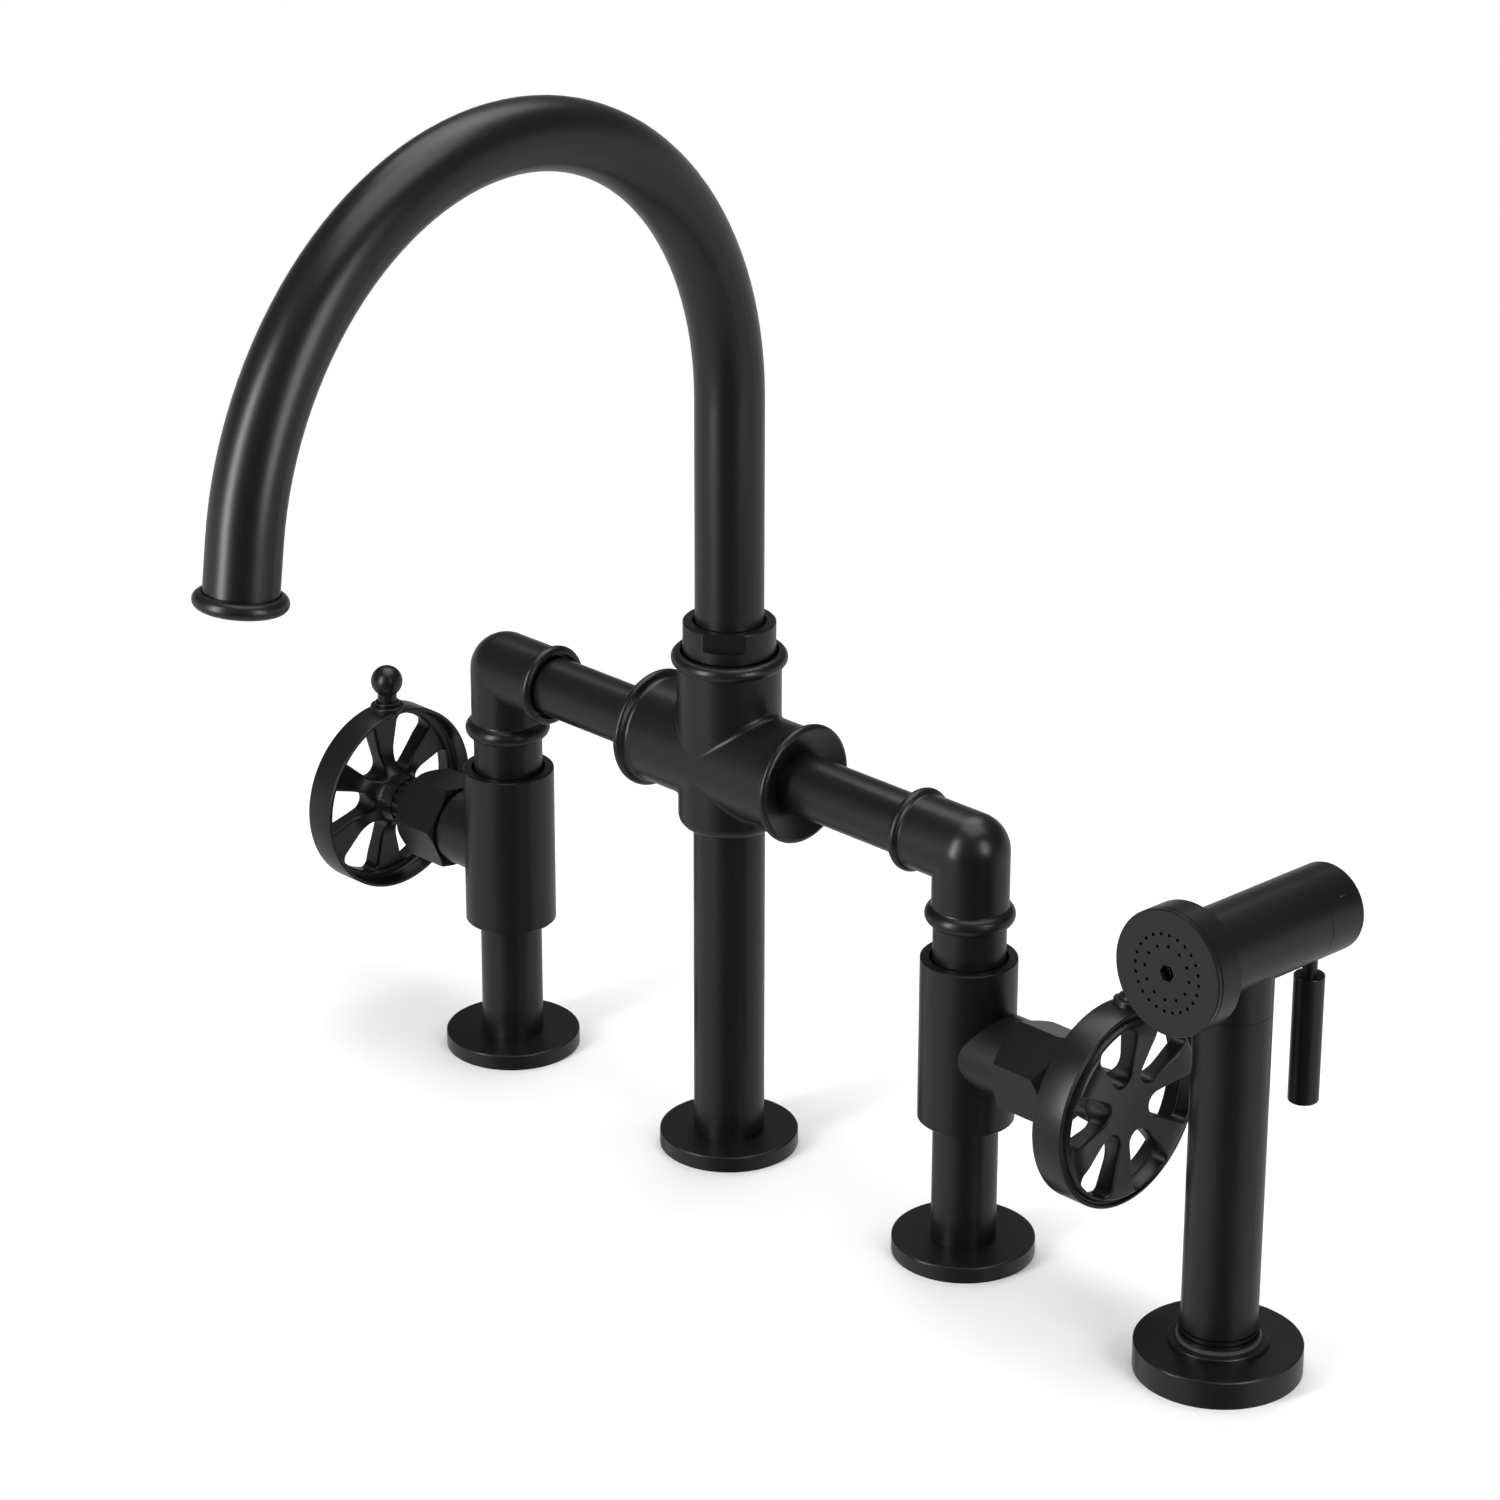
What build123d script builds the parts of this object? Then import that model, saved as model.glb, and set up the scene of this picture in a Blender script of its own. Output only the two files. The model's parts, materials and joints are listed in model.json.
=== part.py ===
from build123d import *
import os
from math import acos, cos, degrees, radians, sin, sqrt, tan

# Bridge kitchen faucet with a side sprayer. Millimetres.
# +X runs to the user's right, the spout reaches towards -Y, +Z is up.
# The origin is on the deck, on the axis of the centre leg.

# ---- driving dimensions -------------------------------------------------------------
valve_half = 101.6          # half of the 8 inch distance between the valve legs
spray_step = 101.6          # the sprayer stands 4 inches right of the right leg
bridge_z = 135.1            # height of the cross pipes
valve_z = 72.0              # height of the handwheel axis

fit = 0.05                  # radial clearance of a fixed fit
run = 0.08                  # radial clearance of a running or sliding fit
axial_gap = 0.30            # end play beside a turning piece
wall_gap = 0.10             # clearance of a cover over its core

# feet and what clamps them to the deck
flange_r = 22.2
flange_h = 5.25
spray_flange_r = 25.3
spray_flange_h = 8.9
flange_edge = 0.5
gasket_h = 2.0
gasket_lip = 1.4            # flange rim left outside the gasket
gasket_width = 6.0
shank_r = 10.45             # half inch parallel thread
shank_bore = 6.0
shank_length = 62.0
thread_chamfer = 1.0
inlet_length = 15.0         # thread below the groove, for the supply hose
relief_h = 2.0
relief_r = 9.8
spigot_length = 20.0
deck_room = 30.0            # deck thickness the nuts are set for
washer_h = 3.0
washer_width = 7.0
nut_h = 9.0
nut_rim = 5.5               # half width across flats beyond the thread
hose_tail_r = 6.58          # quarter inch thread of the sprayer hose
hose_tail_length = 11.0
hose_bore = 4.0

# legs
leg_r = 10.1
centre_leg_r = 11.25
leg_wall = 2.6

# valve: core and sleeve on the leg, port, bonnet and cartridge on the handwheel axis
sleeve_r = 14.9
sleeve_bottom = 46.1
sleeve_top = 100.2
sleeve_wall = 2.8
sleeve_edge = 0.35
sleeve_lip_h = 2.4
core_bottom = 49.0
core_top = 93.0
core_way = 5.5
core_leg_socket = 9.0
nipple_r = 11.2
nipple_spigot_r = 9.2
nipple_spigot_length = 9.0
port_r = 12.8
port_start = 5.0            # distances along the handwheel axis start at the sleeve's axis
port_end = 21.8
port_spigot_r = 9.9
port_spigot_start = 4.6
bonnet_flats = 27.0
bonnet_gap = 0.7            # groove between the port and the hexagon
bonnet_end = 41.2
bonnet_turn = {"left": 5.0, "right": 40.0}      # degrees each hexagon came to when tightened
bonnet_spigot_r = 11.0
bonnet_spigot_length = 4.0
bonnet_heel = (1.6, 1.0)    # what is taken off the corners, across and along the axis
bonnet_crown = (2.4, 2.9)
cartridge_r = 8.6
cartridge_end = 30.0
seat_h = 1.6
disc_r = 7.0
disc_h = 3.0
stem_r = 4.0
stem_foot_h = 2.2

# handwheel
wheel_r = 31.4
wheel_start = 53.7          # valve side of the rim band
wheel_end = 64.7            # outer side of the rim band
rim_wall = 2.5
rim_round = 0.5
wheel_petals = 6
wheel_lean = {"left": 0.0, "right": 10.6}       # degrees each finial leans back when shut
petal_flare = 18.6          # degrees between a petal's middle line and each side
petal_apex = 0.87           # where the two sides would meet, from the axis
petal_tip_r = 3.9
petal_corner_r = 2.6
petal_clear = 1.1           # from the petals to the inside of the rim
web_sink = 0.3              # the middle of the web lies this far below the rim's face
crest_in = 7.9              # the web's crest, inwards from the rim and proud of it
crest_rise = 2.05
cove_width = 0.75
cove_depth = 2.0
hub_start = 49.6
hub_r = 8.3
collar_r = 8.0
collar_flutes = 16
flute_r = 0.8
collar_spigot_r = 6.0
collar_spigot_length = 6.0
finial_base_r = 5.7
finial_ball_r = 5.3
finial_ball_up = 9.7        # ball centre above the rim
finial_stud_r = 1.6
finial_stud_length = 4.0

# elbows, cross pipes and cross
elbow_r = 11.8
elbow_reach = 23.1          # from the leg's axis to the open face of the elbow
elbow_bottom = 111.6
elbow_lip_r = 13.8
elbow_lip_round = 2.9
elbow_blend = 0.8
mouth_lip_r = 13.2
mouth_lip_round = 1.9
elbow_mouth_r = 10.9
elbow_mouth_depth = 3.0
elbow_socket_depth = 11.0
elbow_bore = 7.6
nipple_in_elbow = 12.0
pipe_r = 9.7
pipe_wall = 1.6
cross_tube_r = 16.8
cross_neck_r = 16.3
cross_boss_r = 16.0
cross_bottom = 112.0
cross_boss_round = 4.0
cross_top = 170.7
cross_blend = 2.0
cross_bore = 7.0
cross_pipe_socket = 12.0
side_collar_r = 19.1
side_collar_at = 33.3
side_collar_round = 1.6
dish_depth = 3.6
rim_bead_r = 18.2
rim_bead_round = 2.3
rim_mouth_r = 15.4
rim_mouth_depth = 5.0
leg_socket_depth = 14.0

# spout
spout_r = 10.75
spout_wall = 1.6
spout_straight = 252.3      # height at which the gooseneck starts to bend
spout_bend_r = 103.7
spout_bend = 172.0          # degrees
spout_tail = 15.1
spout_swing = 5.0           # the spout rests this many degrees right of straight ahead
spout_foot = 140.0
spout_foot_wall = 2.9
spout_foot_length = 27.0
nut_r = 14.5
nut_base = 170.6
nut_top = 180.5
nut_tail_r = 13.5
nut_tail_bottom = 160.2
nut_mouth_r = 11.5
nut_mouth_depth = 9.0
nut_flat_at = 12.9          # distance of a wrench flat from the axis
nut_flat_h = 6.0
nut_flat_turn = 38.0        # a flat faces this many degrees right of straight ahead
clip_h = 1.6
clip_r = 12.6
clip_groove = 0.9
clip_gap = 7.0
o_ring_r = 1.1              # half the cord's thickness
o_ring_heights = (145.5, 151.5)
o_ring_slack = 0.03
aerator_r = 13.5
aerator_h = 4.8
aerator_neck_r = 11.6
aerator_lap = 0.8           # the ring's mouth stands this far over the tube's end
aerator_gap = 0.35
aerator_thread_length = 7.0
insert_r = 7.6
insert_h = 5.0
insert_holes = 18
insert_hole_r = 0.75

# sprayer: holder in the deck, bush, handle and head
holder_r = 15.0
holder_top = 10.5
holder_shank_r = 13.4
holder_bore = 10.6
holder_length = 46.0
bush_r = holder_bore - run
bush_wall = 1.1
bush_length = 34.0
bush_rim_r = 12.7
bush_rim_h = 0.9
foot_r = bush_r - bush_wall - run
foot_depth = 22.0
neck_rings = ((12.1, 11.9, 0.8), (11.2, 12.9, 0.7), (12.0, 13.8, 0.7))    # radius, bottom, height
foot_spigot_length = 12.0
grip_r = 11.53
grip_wall = 1.5
grip_bottom = 14.7
grip_top = 117.9
head_z = 138.2
head_tilt = 2.4             # degrees that the spray face looks up
head_r = 13.4
face_r = 18.9
face_start = 20.7           # distances along the head start at the handle's axis
face_seam = 28.9
face_end = 30.7
face_edge = 0.3
head_seam = -27.5
head_rear = -42.6
head_rear_round = 1.2
head_bore = 9.0
head_neck_bore = 6.5
neck_spigot_length = 11.0
valve_seat_at = 9.0
valve_seat_h = 5.0
valve_seat_r = 4.6
face_chamber_r = 14.5
face_chamber_depth = 4.0
spray_hole_r = 0.55
spray_rings = ((24, 11.6), (12, 8.1))       # holes, pitch radius
key_flats = 4.6             # hexagon key hole in the middle of the face
rear_spigot_r = 10.9
rear_spigot_length = 5.5
rear_cavity_r = 10.2
lever_at = 34.9             # the lever hangs this far behind the handle's axis
lever_r = 4.65
lever_top = 116.8
lever_bottom = 75.7
lever_stub_r = 2.3
lever_edge = 0.5
lever_swing = 12.0          # degrees from rest to fully squeezed
lever_eye_r = 3.2
lever_eye_h = 6.0
pivot_rise = 6.0            # the pivot lies this far above the head's axis
pin_r = 1.5
pin_length = 21.0
plunger_r = 2.5
poppet_r = 6.8
poppet_h = 2.4
spring_r = 4.6
spring_wire_r = 0.5
spring_turns = 4

spray_x = valve_half + spray_step
elbow_face = valve_half - elbow_reach
sides = (("left", -1), ("right", 1))
deck = Plane.XY
spray_deck = Plane(origin=(spray_x, 0, 0), z_dir=(0, 0, 1))
head_axis = Plane(
    origin=(spray_x, 0, head_z),
    x_dir=(1, 0, 0),
    z_dir=(0, -cos(radians(head_tilt)), sin(radians(head_tilt))),
)
spout_plane = Plane(
    origin=(0, 0, 0),
    x_dir=(sin(radians(spout_swing)), -cos(radians(spout_swing)), 0),
    z_dir=(-cos(radians(spout_swing)), -sin(radians(spout_swing)), 0),
)


def leg_plane(side):
    """Deck plane on the axis of a valve leg."""
    return Plane(origin=(side * valve_half, 0, 0), z_dir=(0, 0, 1))


def valve_plane(side):
    """Plane square to a handwheel axis, facing outwards, at the sleeve's axis."""
    return Plane(origin=(side * valve_half, 0, valve_z), x_dir=(0, side, 0), z_dir=(side, 0, 0))


def bridge_plane(side):
    """Plane square to the cross pipes, facing outwards, at the middle of the bridge."""
    return Plane(origin=(0, 0, bridge_z), x_dir=(0, side, 0), z_dir=(side, 0, 0))


def ring(plane, outer, inner, start, end, mode=Mode.ADD):
    """Add or cut a round tube between two distances along a plane's normal."""
    with BuildSketch(plane.offset(start)) as section:
        Circle(outer)
        if inner:
            Circle(inner, mode=Mode.SUBTRACT)
    extrude(section.sketch, amount=end - start, mode=mode)


def drill(plane, radius, start, end):
    """Cut a round hole between two distances along a plane's normal."""
    ring(plane, radius, 0, start, end, Mode.SUBTRACT)


def bead(plane, radius, at, rounding, mode=Mode.ADD):
    """Add a raised round bead whose crest has the given radius."""
    half = Plane(origin=plane.origin, x_dir=plane.x_dir, z_dir=-plane.y_dir)
    with BuildSketch(half) as section:
        with Locations((radius - rounding, at)):
            Circle(rounding)
    revolve(section.sketch, axis=Axis(plane.origin, plane.z_dir), mode=mode)


def lip(plane, tube_r, crest_r, blend, rounding):
    """Add a rounded lip round the end of a tube; the plane is the lip's outer face."""
    half = Plane(origin=plane.origin, x_dir=plane.x_dir, z_dir=-plane.y_dir)
    turn = degrees(acos(1 - (crest_r - tube_r) / (blend + rounding)))
    start = -rounding - (blend + rounding) * sin(radians(turn))
    inner = crest_r - rounding - blend
    with BuildSketch(half) as section:
        with BuildLine():
            rise = JernArc((tube_r, start), (0, 1), blend, -turn)
            crest = JernArc(rise @ 1, rise % 1, rounding, turn + 90)
            Polyline(crest @ 1, (inner, 0), (inner, start), rise @ 0)
        make_face()
    revolve(section.sketch, axis=Axis(plane.origin, plane.z_dir))


def bevel(plane, radius, size, at, facing):
    """Cut a cone that takes the corners off the end of a prism, by a size across and along."""
    half = Plane(origin=plane.origin, x_dir=plane.x_dir, z_dir=-plane.y_dir)
    across_by, along_by = size
    with BuildSketch(half) as section:
        Polygon(
            (radius - across_by, at),
            (radius + across_by, at),
            (radius + across_by, at - facing * 2 * along_by),
            align=None,
        )
    revolve(section.sketch, axis=Axis(plane.origin, plane.z_dir), mode=Mode.SUBTRACT)


def hexagon(plane, flats, bore, start, end, turn=0.0):
    """Add a hexagonal prism with a bore."""
    with BuildSketch(plane.offset(start)) as section:
        RegularPolygon(flats / 2, 6, major_radius=False, rotation=turn)
        Circle(bore, mode=Mode.SUBTRACT)
    extrude(section.sketch, amount=end - start)


def rims(part, radius, tolerance=0.01):
    """Circular edges of a part that have the given radius."""
    circles = part.edges().filter_by(GeomType.CIRCLE)
    return circles.filter_by(lambda edge: abs(edge.radius - radius) < tolerance)


def save(part, name):
    """Label a finished piece and write its file."""
    part.label = name
    export_step(part, f"parts/{name}.step")


os.makedirs("parts", exist_ok=True)

# ---- feet -----------------------------------------------------------------------------
feet = {
    "left_flange": (leg_plane(-1), flange_r, flange_h, leg_r),
    "right_flange": (leg_plane(1), flange_r, flange_h, leg_r),
    "center_flange": (deck, flange_r, flange_h, centre_leg_r),
    "sprayer_flange": (spray_deck, spray_flange_r, spray_flange_h, holder_shank_r),
}
for name, (plane, radius, height, bore) in feet.items():
    with BuildPart() as flange:
        ring(plane, radius, bore + fit, 0, height)
        fillet(rims(flange, radius).sort_by(Axis.Z)[-1], flange_edge)
        gasket_r = radius - gasket_lip
        ring(plane, gasket_r + fit, gasket_r - gasket_width - fit, 0, gasket_h, Mode.SUBTRACT)
    save(flange.part, name)

with BuildPart() as deck_gaskets:
    for plane, radius, height, bore in feet.values():
        ring(plane, radius - gasket_lip, radius - gasket_lip - gasket_width, 0, gasket_h)
save(deck_gaskets.part, "deck_gaskets")

# ---- threaded shanks below the deck ------------------------------------------------------
for name, plane, bore in (
    ("left_shank", leg_plane(-1), leg_r - leg_wall),
    ("right_shank", leg_plane(1), leg_r - leg_wall),
):
    relief = thread_chamfer + inlet_length - shank_length
    with BuildPart() as shank:
        ring(plane, shank_r, shank_bore, -shank_length, 0)
        ring(plane, bore - fit, shank_bore, 0, spigot_length)
        chamfer(rims(shank, shank_r).sort_by(Axis.Z)[0], thread_chamfer)
        ring(plane, shank_r + relief_h, relief_r, relief, relief + relief_h, Mode.SUBTRACT)
    save(shank.part, name)

with BuildPart() as center_shank:
    ring(deck, shank_r, shank_bore, hose_tail_length - shank_length, 0)
    ring(deck, centre_leg_r - leg_wall - fit, shank_bore, 0, spigot_length)
    ring(deck, shank_bore, hose_bore, hose_tail_length - shank_length, 2 * hose_tail_length - shank_length)
    ring(deck, hose_tail_r, hose_bore, -shank_length, hose_tail_length - shank_length)
    chamfer(rims(center_shank, hose_tail_r).sort_by(Axis.Z)[0], 0.8)
save(center_shank.part, "center_shank")

clamped = ((leg_plane(-1), shank_r), (leg_plane(1), shank_r), (deck, shank_r), (spray_deck, holder_shank_r))
with BuildPart() as deck_washers:
    for plane, thread in clamped:
        ring(plane, thread + washer_width, thread + wall_gap, -deck_room - washer_h, -deck_room)
save(deck_washers.part, "deck_washers")

with BuildPart() as lock_nuts:
    for plane, thread in clamped:
        clamp_z = -deck_room - washer_h
        hexagon(plane, 2 * (thread + nut_rim), thread + fit, clamp_z - nut_h, clamp_z)
save(lock_nuts.part, "lock_nuts")

# ---- legs ------------------------------------------------------------------------------------
for side_name, side in sides:
    with BuildPart() as leg:
        ring(leg_plane(side), leg_r, leg_r - leg_wall, 0, core_bottom + core_leg_socket)
    save(leg.part, f"{side_name}_leg")

with BuildPart() as center_leg:
    ring(deck, centre_leg_r, centre_leg_r - leg_wall, 0, cross_bottom + leg_socket_depth)
save(center_leg.part, "center_leg")

# ---- valves ------------------------------------------------------------------------------------
core_r = sleeve_r - sleeve_wall - wall_gap
for side_name, side in sides:
    upright = leg_plane(side)
    across = valve_plane(side)

    with BuildPart() as valve_core:
        ring(upright, core_r, 0, core_bottom, core_top)
        drill(upright, leg_r + fit, core_bottom, core_bottom + core_leg_socket)
        drill(upright, core_way, core_bottom, valve_z - core_way / 2)
        drill(upright, core_way, valve_z + core_way / 2, core_top)
        drill(upright, nipple_spigot_r + fit, core_top - nipple_spigot_length, core_top)
        drill(across, port_spigot_r + fit, port_spigot_start - seat_h, 2 * core_r)
    save(valve_core.part, f"{side_name}_valve_core")

    with BuildPart() as valve_sleeve:
        ring(upright, sleeve_r, sleeve_r - sleeve_wall, sleeve_bottom, sleeve_top)
        ring(upright, sleeve_r, leg_r + 3 * wall_gap, sleeve_bottom, sleeve_bottom + sleeve_lip_h)
        chamfer(rims(valve_sleeve, sleeve_r), sleeve_edge)
        drill(across, port_r + wall_gap, port_start - wall_gap, 2 * sleeve_r)
    save(valve_sleeve.part, f"{side_name}_valve_sleeve")

    with BuildPart() as valve_port:
        ring(across, port_r, 0, port_start, port_end)
        drill(upright, core_r + fit, valve_z - 2 * port_r, valve_z + 2 * port_r)
        ring(across, port_spigot_r, 0, port_spigot_start, port_end)
        drill(across, cartridge_r + fit, port_spigot_start, port_end)
        drill(across, bonnet_spigot_r + fit, port_end - bonnet_spigot_length - fit, port_end)
    save(valve_port.part, f"{side_name}_valve_port")

    hex_start = port_end + bonnet_gap
    with BuildPart() as bonnet:
        hexagon(across, bonnet_flats, stem_r + run, hex_start, bonnet_end, bonnet_turn[side_name])
        bevel(across, bonnet_flats / sqrt(3), bonnet_heel, hex_start, -1)
        bevel(across, bonnet_flats / sqrt(3), bonnet_crown, bonnet_end, 1)
        ring(across, bonnet_spigot_r, stem_r + run, port_end - bonnet_spigot_length, hex_start)
        drill(across, cartridge_r + fit, port_end - bonnet_spigot_length, cartridge_end + fit)
    save(bonnet.part, f"{side_name}_bonnet")

    foot_start = port_spigot_start + 2 * disc_h + 2 * fit
    with BuildPart() as cartridge:
        ring(across, cartridge_r, stem_r + run, port_spigot_start, cartridge_end)
        drill(across, disc_r + run, port_spigot_start, foot_start + stem_foot_h + axial_gap)
    save(cartridge.part, f"{side_name}_cartridge")

    with BuildPart() as turning_disc:
        with BuildSketch(across.offset(port_spigot_start + disc_h + fit)):
            Circle(disc_r)
            with Locations((0, disc_r / 2)):
                SlotOverall(disc_r, disc_r / 3, mode=Mode.SUBTRACT)
        extrude(amount=disc_h)
    save(turning_disc.part, f"{side_name}_turning_disc")

    with BuildPart() as spindle:
        ring(across, disc_r, 0, foot_start, foot_start + stem_foot_h)
        ring(across, stem_r, 0, foot_start, hub_start + collar_spigot_length)
    save(spindle.part, f"{side_name}_spindle")

with BuildPart() as fixed_discs:
    for side_name, side in sides:
        with BuildSketch(valve_plane(side).offset(port_spigot_start)):
            Circle(disc_r)
            with Locations((0, disc_r / 2), (0, -disc_r / 2)):
                SlotOverall(disc_r, disc_r / 3, mode=Mode.SUBTRACT)
    extrude(amount=disc_h)
save(fixed_discs.part, "fixed_discs")

with BuildPart() as seat_washers:
    for side_name, side in sides:
        seat_plane = valve_plane(side).offset(port_spigot_start)
        ring(seat_plane, disc_r + seat_h, disc_r - seat_h, -seat_h, 0)
save(seat_washers.part, "seat_washers")

# ---- handwheels -----------------------------------------------------------------------------------
# a petal is a wedge of the disc inside the rim, with its point and its corners rounded
inner_r = wheel_r - rim_wall
spread = wheel_r * tan(radians(petal_flare))
with BuildSketch() as petal:
    Circle(inner_r - petal_clear)
    Polygon(
        (petal_apex, 0),
        (petal_apex + wheel_r, spread),
        (petal_apex + wheel_r, -spread),
        align=None,
        mode=Mode.INTERSECT,
    )
    fillet(petal.vertices().sort_by(Axis.X)[0], petal_tip_r)
    corners = petal.vertices().sort_by(Axis.Y)
    fillet([corners[0], corners[-1]], petal_corner_r)

for side_name, side in sides:
    across = valve_plane(side)
    profile_plane = Plane(origin=across.origin, x_dir=(0, 0, 1), z_dir=(0, side, 0))
    web_edge_r = inner_r - 3.2
    cove_r = inner_r - cove_width
    cove_u = wheel_end - cove_depth
    lean = wheel_lean[side_name]

    with BuildPart() as handwheel:
        # half section: local x is the radius, local y runs outwards along the axis
        with BuildSketch(profile_plane):
            with BuildLine():
                Line((0, hub_start), (hub_r, hub_start))
                ThreePointArc(
                    (hub_r, hub_start),
                    (0.55 * web_edge_r, wheel_start + 1.1),
                    (web_edge_r, wheel_start + 4.0),
                )
                ThreePointArc(
                    (web_edge_r, wheel_start + 4.0),
                    (inner_r - 0.6, wheel_start + 3.2),
                    (inner_r, wheel_start + 1.6),
                )
                Line((inner_r, wheel_start + 1.6), (inner_r, wheel_start))
                Line((inner_r, wheel_start), (wheel_r, wheel_start))
                Line((wheel_r, wheel_start), (wheel_r, wheel_end))
                Line((wheel_r, wheel_end), (inner_r, wheel_end))
                Line((inner_r, wheel_end), (inner_r, cove_u + cove_width / 3))
                ThreePointArc(
                    (inner_r, cove_u + cove_width / 3),
                    (inner_r - cove_width / 2, cove_u),
                    (cove_r, cove_u + cove_width / 4),
                )
                ThreePointArc(
                    (cove_r, cove_u + cove_width / 4),
                    (inner_r - 0.4 * crest_in, wheel_end + crest_rise / 2),
                    (inner_r - crest_in, wheel_end + crest_rise),
                )
                ThreePointArc(
                    (inner_r - crest_in, wheel_end + crest_rise),
                    (inner_r / 3, wheel_end - web_sink + crest_rise / 5),
                    (0, wheel_end - web_sink),
                )
                Line((0, wheel_end - web_sink), (0, hub_start))
            make_face()
        revolve(axis=Axis(across.origin, across.z_dir))
        with BuildSketch(across.offset(hub_start)):
            with PolarLocations(0, wheel_petals, start_angle=90 - side * lean + 180 / wheel_petals):
                add(petal.sketch)
        extrude(amount=2 * wheel_r, mode=Mode.SUBTRACT)
        fillet(rims(handwheel, wheel_r), rim_round)
        drill(across, collar_spigot_r + fit, hub_start, hub_start + collar_spigot_length + fit)
        rim_top = Plane(
            origin=across.offset((wheel_start + wheel_end) / 2).origin,
            z_dir=(0, sin(radians(lean)), cos(radians(lean))),
        )
        drill(rim_top, finial_stud_r + fit, wheel_r - finial_stud_length - fit, wheel_r + 1)
    save(handwheel.part, f"{side_name}_handwheel")

    with BuildPart() as collar:
        ring(across, collar_r, stem_r + fit, bonnet_end + axial_gap, hub_start)
        ring(across, collar_spigot_r, stem_r + fit, hub_start, hub_start + collar_spigot_length)
        with BuildSketch(across.offset(bonnet_end + axial_gap)):
            with PolarLocations(collar_r, collar_flutes):
                Circle(flute_r)
        extrude(amount=hub_start - bonnet_end - axial_gap, mode=Mode.SUBTRACT)
    save(collar.part, f"{side_name}_hub_collar")

    with BuildPart() as finial:
        ring(rim_top, finial_stud_r, 0, wheel_r - finial_stud_length, wheel_r)
        ring(rim_top, finial_base_r, 0, wheel_r - 0.6, wheel_r + 1.4)
        fillet(rims(finial, finial_base_r).sort_by(Axis.Z)[-1], 0.6)
        ring(rim_top, 4.2, 0, wheel_r + 1.4, wheel_r + 2.6)
        fillet(rims(finial, 4.2).sort_by(Axis.Z)[-1], 0.5)
        ring(rim_top, 3.2, 0, wheel_r + 2.6, wheel_r + finial_ball_up)
        with Locations(rim_top.offset(wheel_r + finial_ball_up).origin):
            Sphere(finial_ball_r)
        with BuildSketch(across.offset(wheel_start)) as band:
            Circle(wheel_r)
            Circle(wheel_r - finial_stud_length / 2, mode=Mode.SUBTRACT)
        with BuildSketch(rim_top) as stud:
            Circle(finial_stud_r)
        stud_core = extrude(stud.sketch, amount=wheel_r + 1, mode=Mode.PRIVATE)
        rim_band = extrude(band.sketch, amount=wheel_end - wheel_start, mode=Mode.PRIVATE)
        add(rim_band - stud_core, mode=Mode.SUBTRACT)
    save(finial.part, f"{side_name}_finial")

# ---- bridge ---------------------------------------------------------------------------------------
pipe_end = elbow_face + elbow_mouth_depth + elbow_socket_depth
pipe_start = side_collar_at - dish_depth - cross_pipe_socket
for side_name, side in sides:
    upright = leg_plane(side)
    level = bridge_plane(side)
    corner = (side * valve_half, 0, bridge_z)
    elbow_foot = Plane(origin=(side * valve_half, 0, elbow_bottom), z_dir=(0, 0, -1))
    elbow_mouth = Plane(origin=(side * elbow_face, 0, bridge_z), x_dir=(0, 1, 1), z_dir=(-side, 0, 0))

    with BuildPart() as nipple:
        ring(upright, nipple_r, core_way, core_top, elbow_bottom)
        ring(upright, nipple_spigot_r, core_way, core_top - nipple_spigot_length, core_top)
        ring(upright, nipple_spigot_r, core_way, elbow_bottom, elbow_bottom + nipple_in_elbow)
    save(nipple.part, f"{side_name}_nipple")

    with BuildPart() as elbow:
        ring(upright, elbow_r, 0, elbow_bottom, bridge_z)
        ring(level, elbow_r, 0, elbow_face, valve_half)
        with Locations(corner):
            Sphere(elbow_r)
        lip(elbow_foot, elbow_r, elbow_lip_r, elbow_blend, elbow_lip_round)
        lip(elbow_mouth, elbow_r, mouth_lip_r, elbow_blend, mouth_lip_round)
        drill(upright, elbow_bore, elbow_bottom, bridge_z)
        drill(level, elbow_bore, elbow_face, valve_half)
        with Locations(corner):
            Sphere(elbow_bore, mode=Mode.SUBTRACT)
        drill(upright, nipple_spigot_r + fit, elbow_bottom, elbow_bottom + nipple_in_elbow)
        drill(level, elbow_mouth_r, elbow_face, elbow_face + elbow_mouth_depth)
        drill(level, pipe_r + fit, elbow_face, pipe_end)
    save(elbow.part, f"{side_name}_elbow")

    with BuildPart() as bridge_pipe:
        ring(level, pipe_r, pipe_r - pipe_wall, pipe_start, pipe_end)
    save(bridge_pipe.part, f"{side_name}_bridge_pipe")

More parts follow.
